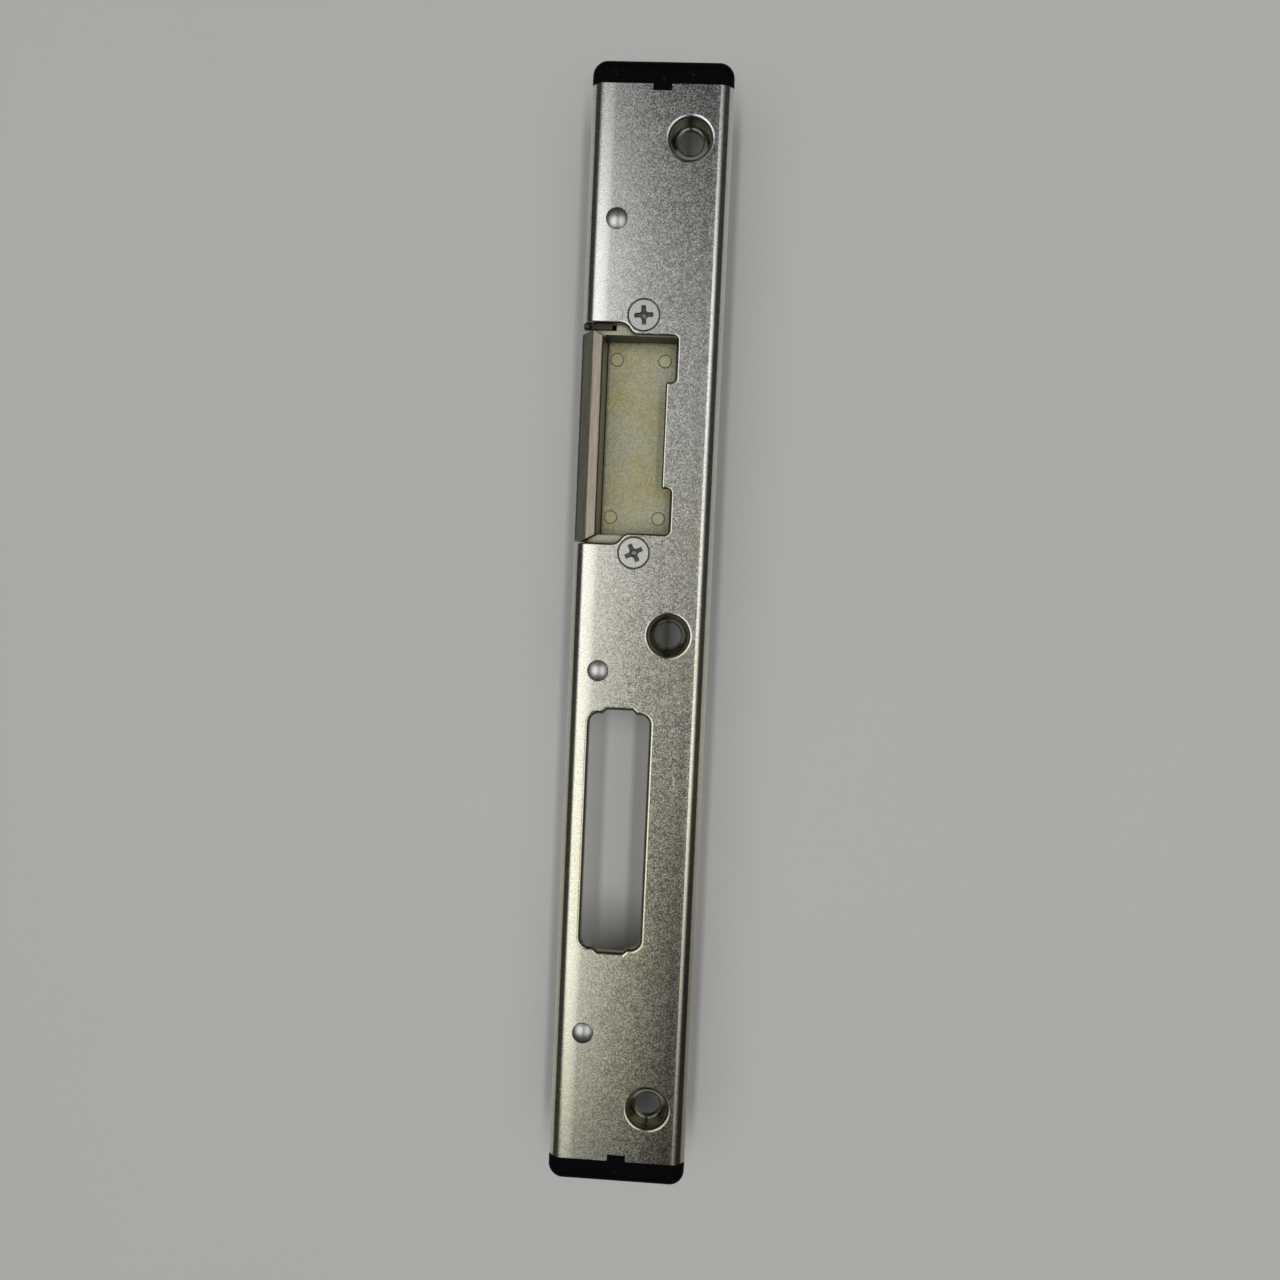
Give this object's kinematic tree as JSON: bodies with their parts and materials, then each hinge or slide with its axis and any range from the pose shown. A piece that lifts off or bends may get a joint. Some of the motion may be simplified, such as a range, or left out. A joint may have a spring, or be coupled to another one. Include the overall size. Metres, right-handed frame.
{
  "type": "electric door strike",
  "caption": "Electric door strike on a long folded strike plate: swinging keeper, latch pocket, deadbolt slot, formed fixing holes and black end caps.",
  "frame": {"origin": "under the middle of the strike plate, on the plane that the back of the strike unit rests on", "axes": "+Y along the plate towards the strike unit's end, +Z out of the plate's face, -X the side that the keeper opens to"},
  "size_m": [0.03, 0.2414, 0.0286],
  "materials": {
    "zinc_plate": "satin bright zinc plating",
    "steel": "bright zinc-plated steel",
    "keeper_steel": "sintered steel, copper-tinted",
    "zinc_casting": "yellow passivated zinc casting",
    "black_plastic": "moulded, fine grain",
    "spring_steel": "spring steel",
    "soft_iron": "soft iron, zinc plated",
    "copper": "enamelled copper wire",
    "brass": "plain",
    "lead_jacket": "insulation",
    "blackened_steel": "blackened sheet steel"
  },
  "bodies": {
    "frame": {"faceplate": "zinc_plate", "end_cap_upper": "black_plastic", "end_cap_lower": "black_plastic", "support_stud_upper": "steel", "support_stud_middle": "steel", "support_stud_lower": "steel", "strike_screw_upper": "steel", "strike_screw_lower": "steel", "strike_housing": "zinc_casting", "back_cover": "steel", "cover_screws": "steel", "keeper_pin": "steel", "keeper_spring": "spring_steel", "locking_lever_pin": "steel", "locking_lever_spring": "spring_steel", "armature_pin": "steel", "armature_spring": "spring_steel", "solenoid_yoke": "soft_iron", "solenoid_core": "soft_iron", "coil_bobbin": "black_plastic", "coil_winding": "copper", "coil_leads": "lead_jacket", "terminal_block": "black_plastic", "terminal_clamps": "brass", "terminal_screws": "steel", "release_lever_pin": "steel"},
    "keeper": {"keeper": "keeper_steel"},
    "locking_lever": {"locking_lever": "soft_iron"},
    "armature": {"armature": "soft_iron"},
    "release_lever": {"release_lever": "blackened_steel"}
  },
  "joints": [
    {"name": "keeper_swing", "type": "hinge", "parent": "frame", "child": "keeper", "pos_m": [-0.0108, 0.0418, 0.0085], "axis": [0, -1, 0], "range_deg": [0, 50], "stiffness_Nm_per_rad": 0.02, "springref_deg": -20.05},
    {"name": "locking_lever_turn", "type": "hinge", "parent": "frame", "child": "locking_lever", "pos_m": [0.0038, 0.04265, 0.006], "axis": [0, 1, 0], "range_deg": [0, 20], "deforming": ["locking_lever_spring"]},
    {"name": "armature_tilt", "type": "hinge", "parent": "frame", "child": "armature", "pos_m": [-0.0011, 0.03335, 0.0029], "axis": [1, 0, 0], "range_deg": [0, 6]},
    {"name": "release_lever_turn", "type": "hinge", "parent": "frame", "child": "release_lever", "pos_m": [-0.0096, 0.0651, 0.0234], "axis": [0, -1, 0], "range_deg": [0, 22]}
  ],
  "couplings": [
    {"joint": "locking_lever_turn", "follows": "keeper_swing", "ratio": 0.4},
    {"joint": "armature_tilt", "follows": "keeper_swing", "ratio": 0.12}
  ]
}
